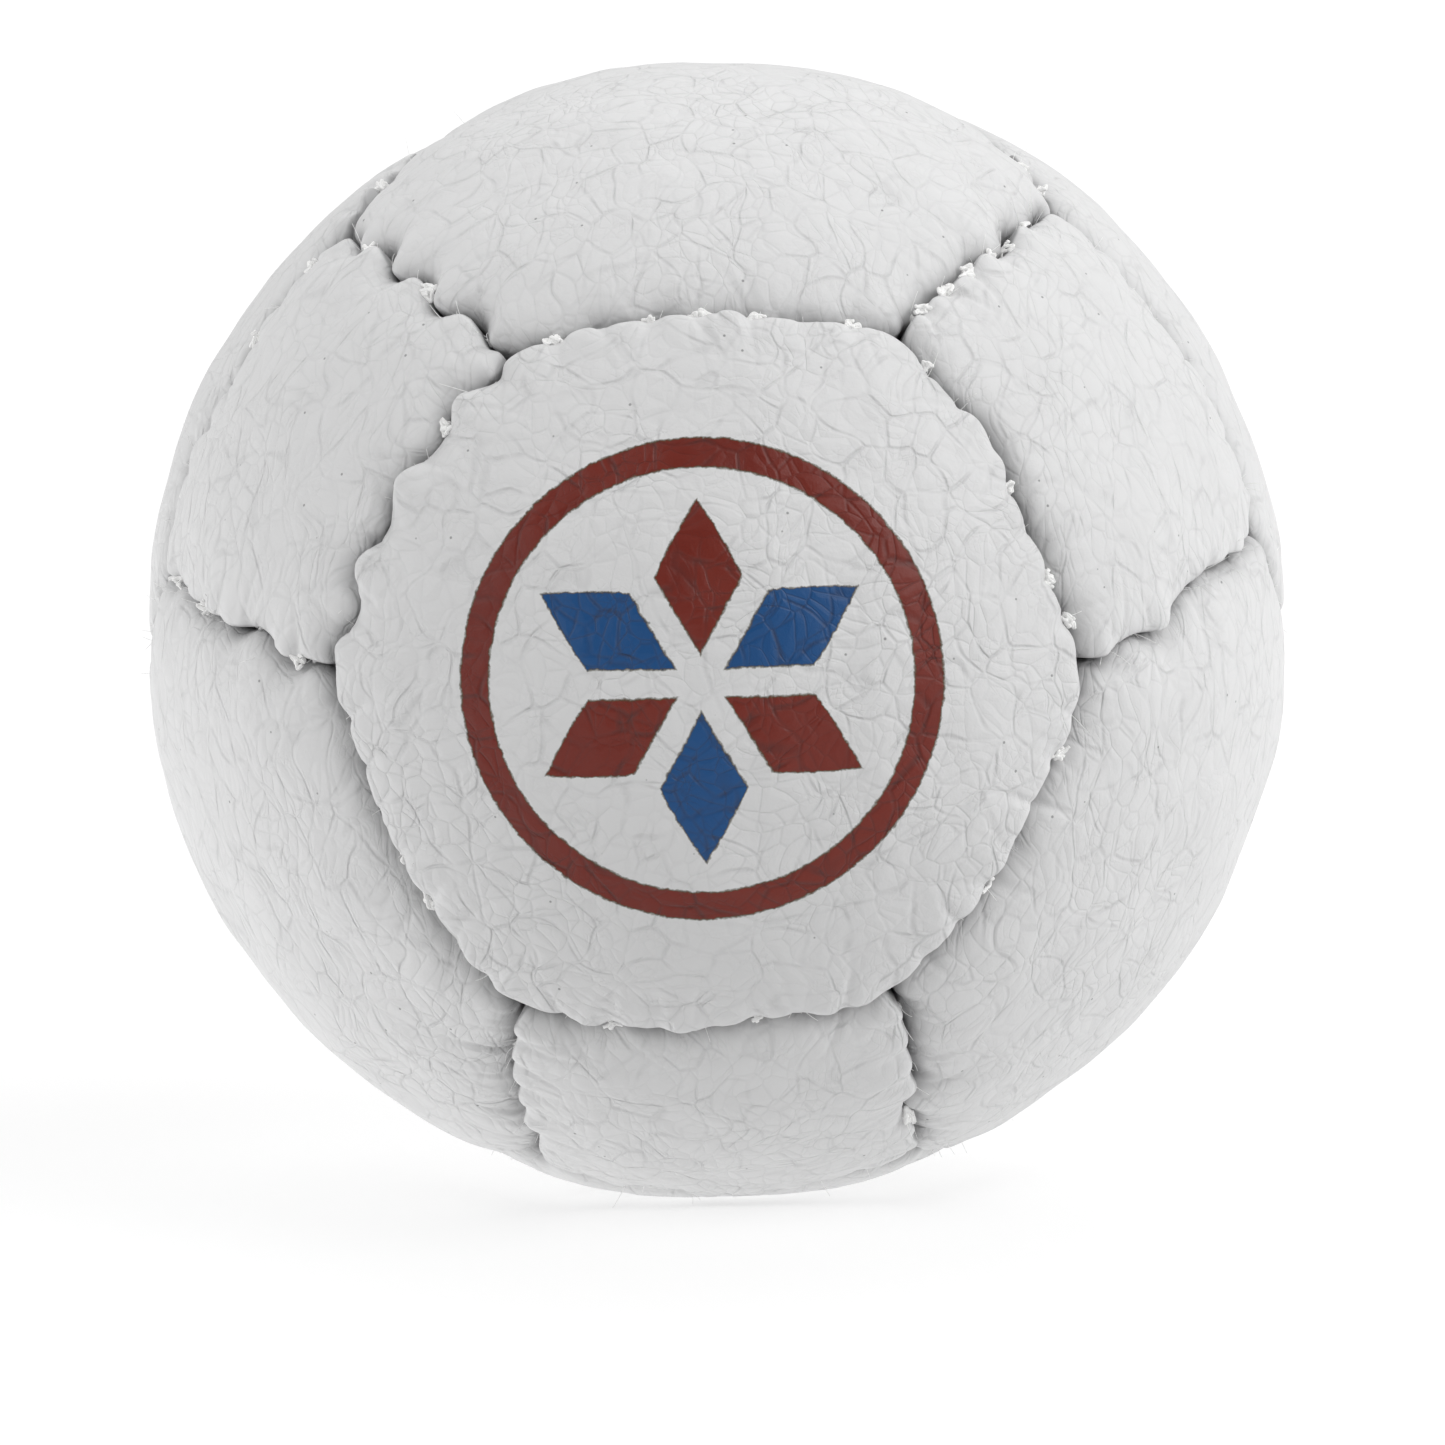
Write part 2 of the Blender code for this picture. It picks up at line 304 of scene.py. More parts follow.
class Panel:
    """One panel of leather: its corners, its sides and the shape of its skin."""

    def __init__(self, name, place, number):
        self.name = name
        self.facing = ball_axes(*place)
        self.seed = 100 * (number + 1)
        self.corners = corners_of(self.facing)
        pairs = list(zip(self.corners, self.corners[1:] + self.corners[:1]))
        self.sides = [Side(pair, self.seed + i) for i, pair in enumerate(pairs)]
        self.edge_drop = FRONT_EDGE_DROP if name == "front" else EDGE_DROP

    def distance(self, n):
        """Rounded distance to the nearest seam, with what each side makes of the points."""
        found = [side.depth(n) for side in self.sides]
        d = np.array([each[0] for each in found])
        nearest = d.min(0)
        weight = np.exp(-(d - nearest) / CORNER_ROUNDING)
        total = weight.sum(0)
        return nearest - CORNER_ROUNDING * np.log(total), weight / total, found

    def seek(self, n, inset):
        """Points moved square to the seams until they are this far inside them."""
        walls = np.array([side.wall for side in self.sides])
        for part in np.clip(np.arange(1, 15) / 11, 0, 1):
            d, weight, _ = self.distance(n)
            inwards = unit(walls[:, None] - (n @ walls.T).T[..., None] * n[None])
            slope = np.einsum("km,kmc->mc", weight, inwards)
            steps = (inset * part - d) / RADIUS / np.maximum((slope**2).sum(1), 0.2)
            n = unit(n + steps[:, None] * slope)
        return n

    def skin(self, n):
        """Radius of the outer skin, rolled over at its edge, and how far it lies in a seam's painted shade.
        """
        d, weight, found = self.distance(n)
        soft = sum(part * side.softness(s) for part, side, (_, s) in zip(weight, self.sides, found))
        drop = soft * np.interp(np.maximum(d - SEAM_HALF_GAP, 0) / soft, FOLD_INSET, FOLD_DROP)
        at = n * RADIUS
        crown = CROWN - self.edge_drop * np.exp(-np.maximum(d, 0) / EDGE_DROP_REACH)
        waves = enumerate(LUMPS)
        lumps = sum(size * smooth_waves(at, length, self.seed + 20 + i) for i, (size, length) in waves)
        high = RADIUS + crown + lumps
        for side, (depth, s) in zip(self.sides, found):
            high = high + side.relief(depth, s)
        # painted seam shade: grey on the softly rolled side of each seam, and a dark painted shade line in
        # the seam itself
        shade = np.clip(soft - 0.45, 0, 1) * np.exp(-((np.maximum(d, 0) / SHADE_REACH) ** 1.5))
        line = np.exp(-((np.maximum(d - SEAM_HALF_GAP, 0) / LINE_REACH) ** 2))
        return high - drop, np.maximum(shade, line)

    def cut(self):
        """Width, length and area in metres of the flat leather: its face, with a turn-in along each side."""
        sides = len(self.corners)
        half_turn = math.tan(math.pi / sides)
        middle = unit(CORNERS[self.corners[0]] + CORNERS[self.corners[1]])
        face = (RADIUS - LEATHER / 2) * math.acos(float(self.facing @ middle)) * MM
        turn_in = (ALLOWANCE - LEATHER / 2) * MM
        width = 2 * (face + turn_in)
        length = 2 * math.hypot(face + turn_in, face * half_turn) if sides == 6 else width
        return width, length, sides * face * half_turn * (face + 2 * turn_in)

    def rim(self):
        turns = np.arange(SEGMENTS) / SEGMENTS
        points = []
        for a, b in zip(self.corners, self.corners[1:] + self.corners[:1]):
            points.append(CORNERS[a] + (CORNERS[b] - CORNERS[a]) * turns[:, None])
        return unit(np.concatenate(points))


def cap_grid(panel, rim):
    """Triangular grid over the panel, from its middle out to the rim, as (directions, triangles)."""
    sides = len(panel.corners)
    count = sides * SEGMENTS
    directions = [panel.facing[None]]
    starts = [0]
    total = 1
    for i in range(1, SEGMENTS + 1):
        at = np.arange(sides * i) / i * SEGMENTS
        low = np.floor(at + 1e-9).astype(int)
        part = (at - low)[:, None]
        edge = rim[low % count] * (1 - part) + rim[(low + 1) % count] * part
        directions.append(unit(panel.facing * (1 - i / SEGMENTS) + edge * (i / SEGMENTS)))
        starts.append(total)
        total += sides * i
    triangles = []
    for i in range(SEGMENTS):
        j = np.arange(i + 1)
        for w in range(sides):
            outer = starts[i + 1] + (w * (i + 1) + np.arange(i + 2)) % (sides * (i + 1))
            inner = starts[i] + (w * i + j) % max(sides * i, 1)
            triangles.append(np.stack((inner, outer[:-1], outer[1:]), 1))
            if i:
                triangles.append(np.stack((inner[:-1], outer[1:-1], inner[1:]), 1))
    return np.concatenate(directions), np.concatenate(triangles), starts[-1]


def panel_surface(panel):
    """Vertices, triangles and quads of one closed leather panel, and the painted seam shade of each vertex.
    """
    count = len(panel.corners) * SEGMENTS
    rim = panel.rim()
    insets = SEAM_HALF_GAP + np.interp(np.linspace(FOLD_REACH, 0, FOLD_RINGS + 1), FOLD_LENGTH, FOLD_INSET)
    cap, triangles, last = cap_grid(panel, panel.seek(rim, insets[0]))
    high, shade = panel.skin(cap)
    rings = [cap * high[:, None]]
    shades = [shade]
    for inset in insets[1:]:
        ring = panel.seek(rim, inset)
        high, shade = panel.skin(ring)
        rings.append(ring * high[:, None])
        shades.append(shade)
    top = np.linalg.norm(rings[-1], axis=1)
    bottom = RADIUS - FOLD_DROP[0] - ALLOWANCE
    for part in np.linspace(0, 1, ALLOWANCE_RINGS + 1)[1:]:
        rings.append(ring * (top * (1 - part) + bottom * part)[:, None])
    back = panel.seek(rim, SEAM_HALF_GAP + LEATHER)
    under = RADIUS - LEATHER - INNER_DROP - INNER_EDGE_DROP
    for part in np.linspace(1, 0, ALLOWANCE_RINGS):
        rings.append(back * (under * (1 - part) + bottom * part))
    for f in np.linspace(1, 0, INNER_RINGS + 1)[1:-1]:
        inner = unit(panel.facing * (1 - f) + back * f)
        d, _, _ = panel.distance(inner)
        fall = INNER_EDGE_DROP * np.exp(-np.maximum(d - INNER_EDGE, 0) / INNER_EDGE_REACH)
        rings.append(inner * (RADIUS - LEATHER - INNER_DROP - fall)[:, None])
    rings.append(panel.facing[None] * (RADIUS - LEATHER - INNER_DROP))
    quads = []
    start = last
    total = len(rings[0])
    round_it = np.arange(count)
    for ring in rings[1:-1]:
        here, there = start + round_it, total + round_it
        quads.append(np.stack((here, there, np.roll(there, -1), np.roll(here, -1)), 1))
        start = total
        total += count
    here = start + round_it
    fan = np.stack((here, np.full(count, total), np.roll(here, -1)), 1)
    points = np.concatenate(rings)
    shade = np.ones(len(points))
    shade[: sum(map(len, shades))] = np.concatenate(shades)
    return points, np.concatenate((triangles, fan)), np.concatenate(quads), shade


# How far, to the right and up, hand sewing has drawn each of these corners out of place, in millimetres
ASKEW = (
    ((0, 2, 1), (1.1, 0.8)),
    ((1, 0, 2), (0.0, 0.4)),
    ((1, 2, 0), (0.45, -0.25)),
    ((2, 0, 1), (-0.8, -1.2)),
    ((2, 1, 0), (-0.35, -0.3)),
    ((-1, 0, 2), (-0.4, 0.8)),
    ((-1, 2, 0), (0.4, 0.7)),
    ((0, -1, 2), (-0.6, -0.6)),
    ((0, 2, -1), (0.5, 0.2)),
)
ASKEW_REACH = 9.0
FLOOR_ROUNDING = 0.25  # where the ball's curve meets the flat it rests on


def draw_askew(points):
    """Slides points over the ball with the corners that are out of place."""
    radius = np.linalg.norm(points, axis=1, keepdims=True)
    n = points / np.maximum(radius, 1e-6)
    slide = np.zeros_like(n)
    for place, (right, up) in ASKEW:
        away = RADIUS * np.linalg.norm(n - ball_axes(*place), axis=1)
        slide += np.exp(-((away / ASKEW_REACH) ** 2))[:, None] * (right, 0, up)
    return unit(n * RADIUS + slide) * radius


def settle(points):
    """Draws the corners askew, and presses what is below the floor flat on to it."""
    points = draw_askew(points)
    floor = -CENTRE_HEIGHT
    low = points[:, 2] < floor + FLOOR_ROUNDING
    under = np.maximum(floor + FLOOR_ROUNDING - points[low, 2], 0)
    points[low, 2] = floor + FLOOR_ROUNDING * np.exp(-under / FLOOR_ROUNDING)
    return points


def mesh_object(name, material, points, triangles, quads=None, shade=None):
    """A smooth mesh from points in millimetres about the ball's centre."""
    mesh = bpy.data.meshes.new(name)
    quads = np.zeros((0, 4), int) if quads is None else quads
    loops = np.concatenate((triangles.ravel(), quads.ravel())).astype(np.int32)
    sizes = np.concatenate((np.full(len(triangles), 3), np.full(len(quads), 4)))
    mesh.vertices.add(len(points))
    mesh.vertices.foreach_set("co", ((points + (0, 0, CENTRE_HEIGHT)) * MM).astype(np.float32).ravel())
    mesh.loops.add(len(loops))
    mesh.loops.foreach_set("vertex_index", loops)
    starts = np.concatenate(([0], np.cumsum(sizes)[:-1])).astype(np.int32)
    mesh.polygons.add(len(sizes))
    mesh.polygons.foreach_set("loop_start", starts)
    mesh.polygons.foreach_set("use_smooth", np.ones(len(sizes), bool))
    if shade is not None:
        layer = mesh.attributes.new("seam_shade", "FLOAT", "POINT")
        layer.data.foreach_set("value", shade.astype(np.float32))
    mesh.update(calc_edges=True)
    mesh.validate()
    obj = bpy.data.objects.new(name, mesh)
    bpy.context.scene.collection.objects.link(obj)
    mesh.materials.append(material)
    return obj


class Nodes:
    """Short calls for a material's node tree."""

    def __init__(self, tree):
        self.tree = tree

    def add(self, kind, **settings):
        node = self.tree.nodes.new(kind)
        for name, value in settings.items():
            setattr(node, name, value)
        return node

    def link(self, source, target):
        if isinstance(source, bpy.types.NodeSocket):
            self.tree.links.new(source, target)
        else:
            target.default_value = source

    def math(self, operation, a, b=0.0, c=0.0, clamp=False):
        node = self.add("ShaderNodeMath", operation=operation, use_clamp=clamp)
        for socket, value in zip(node.inputs, (a, b, c)):
            self.link(value, socket)
        return node.outputs[0]

    def vector(self, operation, a, b=(0, 0, 0), scale=None):
        node = self.add("ShaderNodeVectorMath", operation=operation)
        self.link(a, node.inputs[0])
        self.link(b, node.inputs[1])
        if scale is not None:
            self.link(scale, node.inputs["Scale"])
        return node.outputs[0]

    def ramp(self, value, low, high, out_low=0.0, out_high=1.0):
        node = self.add("ShaderNodeMapRange", interpolation_type="SMOOTHSTEP")
        sockets = ("Value", "From Min", "From Max", "To Min", "To Max")
        for socket, each in zip(sockets, (value, low, high, out_low, out_high)):
            self.link(each, node.inputs[socket])
        return node.outputs[0]

    def mix(self, factor, a, b):
        node = self.add("ShaderNodeMix", data_type="RGBA")
        self.link(factor, node.inputs[0])
        self.link(a, node.inputs[6])
        self.link(b, node.inputs[7])
        return node.outputs[2]

    def noise(self, vector, scale, detail=2.0, rough=0.5, colour=False):
        node = self.add("ShaderNodeTexNoise")
        self.link(vector, node.inputs["Vector"])
        node.inputs["Scale"].default_value = scale
        node.inputs["Detail"].default_value = detail
        node.inputs["Roughness"].default_value = rough
        return node.outputs["Color" if colour else "Fac"]

    def cells(self, vector, scale, feature="DISTANCE_TO_EDGE"):
        node = self.add("ShaderNodeTexVoronoi", feature=feature)
        self.link(vector, node.inputs["Vector"])
        node.inputs["Scale"].default_value = scale
        return node.outputs["Distance"]

    def millimetres(self):
        """The place on the object, in millimetres."""
        where = self.add("ShaderNodeTexCoord").outputs["Object"]
        return self.vector("SCALE", where, scale=1 / MM)

    def bump(self, height, strength, target):
        """Relief from a height in millimetres."""
        node = self.add("ShaderNodeBump")
        node.inputs["Strength"].default_value = strength
        node.inputs["Distance"].default_value = MM
        self.link(height, node.inputs["Height"])
        self.link(node.outputs[0], target)


def new_material(name, roughness, specular):
    material = bpy.data.materials.new(name)
    material.use_nodes = True
    surface = material.node_tree.nodes["Principled BSDF"]
    surface.inputs["Roughness"].default_value = roughness
    surface.inputs["Specular IOR Level"].default_value = specular
    return material, Nodes(material.node_tree), surface


# Colours, as linear red, green, blue and alpha
WHITE_DARK, WHITE_LIGHT = (0.77, 0.77, 0.772, 1), (0.81, 0.81, 0.812, 1)
# the next colour is painted crease shade, laid along the grain's creases
CREASE_PAINTED_SHADE = (0.3, 0.3, 0.305, 1)
SPECK = (0.08, 0.08, 0.08, 1)
# the next colour is painted seam shade, laid on the leather where it turns down into a seam
PAINTED_SEAM_SHADE = (0.12, 0.12, 0.125, 1)
RED_DARK, RED_LIGHT = (0.15, 0.008, 0.001, 1), (0.19, 0.016, 0.005, 1)
BLUE_DARK, BLUE_LIGHT = (0.0, 0.055, 0.19, 1), (0.0, 0.075, 0.25, 1)
# the next colour is painted crease shade in the ink
INK_PAINTED_CREASE_SHADE = (0.02, 0.01, 0.01, 1)
FRINGE = (0.07, 0.055, 0.02, 1)
THREAD_DARK, THREAD_LIGHT = (0.88, 0.88, 0.87, 1), (0.97, 0.97, 0.96, 1)
GRANULE_MIDDLE, GRANULE_EDGE = (0.2, 0.21, 0.22, 1), (0.06, 0.065, 0.07, 1)

# The leather's grain, in millimetres
COARSE_DEPTH = 0.06
PEBBLE_HEIGHT = 0.03
SMALL_DEPTH = 0.024
TINY_DEPTH = 0.012
PLAIN_RELIEF = 0.8  # of the plain panels' grain, against the printed one's
STRETCHED = (1.2, 1.0, 0.68)  # the plain panels' grain is drawn out upwards

# The ornament, in millimetres
PETALS = 6
PETAL_START = 1.5
PETAL_END = 9.6
PETAL_NARROWING = (0.52, 0.66)  # of half its width, towards its inner and its outer tip
PETAL_SLANT = 0.87  # about the cosine of the angle between a petal's edge and its middle line
BLUE_REACH = 10.5  # past the petals, and short of the ring, which is red
RING_RADIUS = 12.0
RING_HALF_WIDTH = 0.75
RAGGED = 0.34


def ornament(nodes, at):
    """Signed distance of a six-petalled rosette in a ring, in millimetres, and which ink each petal has."""
    split = nodes.add("ShaderNodeSeparateXYZ")
    nodes.link(at, split.inputs[0])
    x = split.outputs["X"]
    z = nodes.math("SUBTRACT", split.outputs["Z"], CENTRE_HEIGHT)
    rough = nodes.noise(at, 2.2, 3.0, 0.7, colour=True)
    ragged = nodes.add("ShaderNodeSeparateColor")
    nodes.link(rough, ragged.inputs[0])
    x = nodes.math("ADD", x, nodes.math("MULTIPLY_ADD", ragged.outputs[0], RAGGED, -RAGGED / 2))
    z = nodes.math("ADD", z, nodes.math("MULTIPLY_ADD", ragged.outputs[1], RAGGED, -RAGGED / 2))
    r = nodes.math("SQRT", nodes.math("ADD", nodes.math("MULTIPLY", x, x), nodes.math("MULTIPLY", z, z)))
    sector = 2 * math.pi / PETALS
    turn = nodes.math("DIVIDE", nodes.math("ARCTAN2", x, z), sector)
    turn = nodes.math("ADD", turn, PETALS + 0.5)
    petal = nodes.math("FLOOR", turn)
    aside = nodes.math("MULTIPLY", nodes.math("SUBTRACT", nodes.math("FRACT", turn), 0.5), sector)
    aside = nodes.math("MULTIPLY", nodes.math("ABSOLUTE", aside), r)
    inner = nodes.math("MULTIPLY", nodes.math("SUBTRACT", r, PETAL_START), PETAL_NARROWING[0])
    outer = nodes.math("MULTIPLY", nodes.math("SUBTRACT", PETAL_END, r), PETAL_NARROWING[1])
    wide = nodes.math("MINIMUM", inner, outer)
    blade = nodes.math("MULTIPLY", nodes.math("SUBTRACT", aside, wide), PETAL_SLANT)
    ring = nodes.math("ABSOLUTE", nodes.math("SUBTRACT", r, RING_RADIUS))
    ring = nodes.math("SUBTRACT", ring, RING_HALF_WIDTH)
    blue = nodes.math("MODULO", petal, 2.0)
    blue = nodes.math("MULTIPLY", blue, nodes.math("LESS_THAN", r, BLUE_REACH))
    return nodes.math("MINIMUM", blade, ring), blue


def leather_grain(nodes, at, patch, fade, printed):
    """Creases of three sizes: how strongly they show in the colour as painted crease shade, and the
    leather's height.
    """
    bend = nodes.vector("SUBTRACT", nodes.noise(at, 0.22, 1.0, 0.5, colour=True), (0.5, 0.5, 0.5))
    bent = nodes.vector("ADD", at, nodes.vector("SCALE", bend, scale=3.0))
    if not printed:
        bent = nodes.vector("MULTIPLY", bent, STRETCHED)
    grain = nodes.cells(bent, 0.85)
    coarse = nodes.ramp(nodes.cells(bent, 0.42), 0.0, 0.07, 1.0, 0.0)
    coarse = nodes.math("MULTIPLY", coarse, nodes.ramp(fade, 0.38, 0.64, 0.3, 1.0))
    small = nodes.ramp(grain, 0.0, 0.08, 1.0, 0.0)
    small = nodes.math("MULTIPLY", small, nodes.ramp(patch, 0.38, 0.64, 0.3, 1.0))
    tiny = nodes.ramp(nodes.cells(bent, 1.9), 0.0, 0.13, 1.0, 0.0)
    tiny = nodes.math("MULTIPLY", tiny, nodes.ramp(fade, 0.45, 0.68, 0.0, 1.0))

    relief = 1.0 if printed else PLAIN_RELIEF
    height = nodes.math("MULTIPLY", coarse, -COARSE_DEPTH * relief)
    height = nodes.math("ADD", nodes.ramp(grain, 0.0, 0.35, 0.0, PEBBLE_HEIGHT * relief), height)
    height = nodes.math("MULTIPLY_ADD", small, -SMALL_DEPTH * relief, height)
    height = nodes.math("MULTIPLY_ADD", tiny, -TINY_DEPTH, height)
    height = nodes.math("MULTIPLY_ADD", nodes.noise(at, 1.1, 3.0, 0.6), 0.05, height)
    height = nodes.math("MULTIPLY_ADD", nodes.noise(at, 7.0, 2.0, 0.6), 0.008, height)

    lines = nodes.math("MULTIPLY_ADD", coarse, 0.6, nodes.math("MULTIPLY", small, 0.4))
    return nodes.math("MULTIPLY_ADD", tiny, 0.2, lines, clamp=True), height


def inked(nodes, at, tone, lines, patch):
    """The colour with the ornament printed on it, and where the ink is."""
    away, blue = ornament(nodes, at)
    ink = nodes.ramp(away, -0.03, 0.03, 1.0, 0.0)
    fringe = nodes.ramp(nodes.math("ABSOLUTE", away), 0.02, 0.09, 1.0, 0.0)
    red = nodes.mix(patch, RED_DARK, RED_LIGHT)
    colour = nodes.mix(blue, red, nodes.mix(patch, BLUE_DARK, BLUE_LIGHT))
    # the ink darkened along the grain's creases: painted crease shade
    colour = nodes.mix(nodes.math("MULTIPLY", lines, 0.6), colour, INK_PAINTED_CREASE_SHADE)
    tone = nodes.mix(ink, tone, colour)
    return nodes.mix(nodes.math("MULTIPLY", fringe, 0.7), tone, FRINGE), ink


def make_leather(name, printed):
    """White grained leather, with specks, painted shade in its creases, and painted seam shade, grey, where
    it turns down into a seam.
    """
    material, nodes, surface = new_material(name, 0.5, 0.4)
    at = nodes.millimetres()
    patch = nodes.noise(at, 0.16, 2.0, 0.5)
    fade = nodes.noise(at, 0.6, 1.0, 0.5)
    lines, height = leather_grain(nodes, at, patch, fade, printed)
    nodes.bump(height, 1.0, surface.inputs["Normal"])

    tone = nodes.mix(patch, WHITE_DARK, WHITE_LIGHT)
    # the grain's creases, darkened in colour: painted crease shade on the leather's own crease pattern
    tone = nodes.mix(nodes.math("MULTIPLY", lines, 0.21), tone, CREASE_PAINTED_SHADE)
    speck = nodes.ramp(nodes.cells(at, 0.55, feature="F1"), 0.03, 0.055, 1.0, 0.0)
    tone = nodes.mix(nodes.math("MULTIPLY", speck, 0.6), tone, SPECK)
    # painted seam shade, broken up by noise, darkens the colour beside each seam
    shade = nodes.add("ShaderNodeAttribute", attribute_name="seam_shade").outputs["Fac"]
    broken = nodes.ramp(nodes.noise(at, 0.45, 2.0, 0.5), 0.35, 0.65, 0.3, 0.75)
    tone = nodes.mix(nodes.math("MULTIPLY", shade, broken), tone, PAINTED_SEAM_SHADE)
    gloss = nodes.ramp(fade, 0.3, 0.7, 0.42, 0.54)
    if printed:
        tone, ink = inked(nodes, at, tone, lines, patch)
        gloss = nodes.math("MULTIPLY_ADD", ink, -0.06, gloss)
    nodes.link(tone, surface.inputs["Base Color"])
    nodes.link(gloss, surface.inputs["Roughness"])
    return material


def make_thread_material():
    material, nodes, surface = new_material("white_lacing", 0.7, 0.3)
    at = nodes.millimetres()
    tone = nodes.mix(nodes.noise(at, 4.0, 3.0), THREAD_DARK, THREAD_LIGHT)
    nodes.link(tone, surface.inputs["Base Color"])
    nodes.bump(nodes.math("MULTIPLY", nodes.noise(at, 18.0, 2.0), 0.03), 0.8, surface.inputs["Normal"])
    surface.inputs["Sheen Weight"].default_value = 0.4
    # painted glow: the lacing gives off a faint white light of its own, so that it looks brighter
    surface.inputs["Emission Color"].default_value = (1, 1, 1, 1)
    surface.inputs["Emission Strength"].default_value = 0.1
    return material


def make_granule_material():
    material, nodes, surface = new_material("packed_granules", 0.6, 0.4)
    at = nodes.millimetres()
    from_grain = nodes.cells(at, 0.7, feature="F1")
    nodes.link(nodes.mix(from_grain, GRANULE_MIDDLE, GRANULE_EDGE), surface.inputs["Base Color"])
    nodes.bump(nodes.math("MULTIPLY", from_grain, -0.4), 1.0, surface.inputs["Normal"])
    return material


def tube(path, radius, around, twist=0.0, ply=0.0):
    """A closed tube along a path, as (points, triangles, quads). Its radius may change along the path.

    With ply, it is two yarns twisted together.
    """
    step = np.gradient(path, axis=0)
    ahead = unit(step)
    side = unit(np.cross(ahead[0], (0.31, 0.77, 0.56)))
    sides = []
    for direction in ahead:
        side = unit(side - direction * (side @ direction))
        sides.append(side)
    sides = np.array(sides)
    ups = np.cross(ahead, sides)
    length = np.concatenate(([0], np.cumsum(np.linalg.norm(np.diff(path, axis=0), axis=1))))
    angle = np.arange(around) / around * 2 * np.pi
    turn = angle[None] - (twist * length)[:, None]
    size = np.broadcast_to(radius, (len(path),))[:, None] * (1 - ply + ply * np.abs(np.cos(turn)))
    points = path[:, None] + size[..., None] * (
        np.cos(angle)[None, :, None] * sides[:, None] + np.sin(angle)[None, :, None] * ups[:, None]
    )
    count = len(path)
    grid = np.arange(count * around).reshape(count, around)
    here, there = grid[:-1], grid[1:]
    quads = np.stack((here, np.roll(here, -1, 1), np.roll(there, -1, 1), there), -1).reshape(-1, 4)
    points = np.concatenate((points.reshape(-1, 3), path[:1], path[-1:]))
    first, last = count * around, count * around + 1
    ends = np.stack((np.roll(grid[0], -1), grid[0], np.full(around, first)), 1)
    tail = np.stack((grid[-1], np.roll(grid[-1], -1), np.full(around, last)), 1)
    return points, np.concatenate((ends, tail)), quads


def rounded_path(points, step, softness):
    """A polyline resampled at even steps, with its corners eased."""
    length = np.concatenate(([0], np.cumsum(np.linalg.norm(np.diff(points, axis=0), axis=1))))
    places = np.linspace(0, length[-1], max(int(length[-1] / step), 8))
    path = np.stack([np.interp(places, length, points[:, axis]) for axis in range(3)], 1)
    width = max(int(softness / step), 1)
    kernel = np.hanning(2 * width + 3)[1:-1]
    kernel /= kernel.sum()
    padded = np.concatenate((np.repeat(path[:1], width, 0), path, np.repeat(path[-1:], width, 0)))
    return np.stack([np.convolve(padded[:, axis], kernel, mode="valid") for axis in range(3)], 1)


def seam_point(seam, s, inset, radius):
    """A point at this place along a seam, this far to the first panel's side of the seam line."""
    direction = seam.middle * math.cos(s / RADIUS) + np.cross(seam.wall, seam.middle) * math.sin(s / RADIUS)
    aside = inset + float(seam.offset(np.array([s]))[0])
    return direction * math.sqrt(radius**2 - aside**2) + seam.wall * aside


def join_parts(parts):
    points, triangles, quads = [], [], []
    total = 0
    for p, t, q in parts:
        points.append(p)
        triangles.append(t + total)
        quads.append(q + total)
        total += len(p)
    return np.concatenate(points), np.concatenate(triangles), np.concatenate(quads)


def loose_end(seam, s, rng):
    """A short end of thread, crumpled up in the mouth of the seam."""
    start = seam_point(seam, s + rng.normal(0, 0.12), rng.normal(0, 0.1), RADIUS - LOOSE_END_DEPTH)
    wander = rng.normal(0, 1, (8, 3))
    wander -= wander.mean(0)
    crumple = start + wander * 0.2 + seam.along * rng.normal(0, 0.22, (8, 1))
    return tube(rounded_path(crumple, 0.05, 0.12), THREAD_RADIUS / 2, around=8, twist=7, ply=0.35)


def stray_fibre(seam, s, rng):
    """A fine fibre of the thread that leans out of the seam."""
    start = seam_point(seam, s + rng.normal(0, 0.2), rng.normal(0, 0.12), RADIUS - FIBRE_DEPTH)
    lean = unit(unit(start) * rng.uniform(0.8, 1.4) + rng.normal(0, 0.55, 3))
    bend = rng.normal(0, 0.5, 3)
    t = np.linspace(0, 1, 9)[:, None]
    reach = rng.uniform(0.7, 1.9)
    path = start + (lean * t + bend * t**2 * 0.5) * reach
    return tube(path, np.linspace(FIBRE_RADIUS, FIBRE_TIP_RADIUS, len(path)), around=5)


def lacing(seam, seed):
    """The thread of one seam, with the loose ends and stray fibres that stand out of its stitches."""
    rng = np.random.default_rng(seed)
    rail = SEAM_HALF_GAP + LEATHER + THREAD_RADIUS
    points = []
    hand = 1
    for s in STITCH_PLACES:
        height = RADIUS - THREAD_DEPTH + rng.uniform(-0.1, 0.15)
        points.append(seam_point(seam, s, rail * hand, height))
        points.append(seam_point(seam, s, -rail * hand, height))
        hand = -hand
    path = rounded_path(np.array(points), 0.12, 0.3)
    parts = [tube(path, THREAD_RADIUS, around=10, twist=5.5, ply=0.28)]
    for s in STITCH_PLACES[seam.showing]:
        parts += [loose_end(seam, s, rng) for _ in range(rng.integers(1, 4))]
    for s in STITCH_PLACES:
        parts += [stray_fibre(seam, s, rng) for _ in range(rng.integers(1, 5))]
    return join_parts(parts)


# The fill, in millimetres
GRAINS = 2600
GRAIN_RADIUS = 1.1
GRAIN_HEIGHT = 0.3
FILL_CLEARANCE = 1.15  # below the leather
FILL_REST_CLEARANCE = 0.5  # above the leather that the ball rests on
GROOVE_DEPTH = 3.6  # behind each seam, where the turned-in edges reach in
GROOVE_HALF_WIDTH = 2.6
SMOOTH_HALF_WIDTH = 2.2  # of the strip along each groove that shows no grains
HALF_SEAM_TURN = 0.36  # in radians, from a seam's middle to where its groove ends


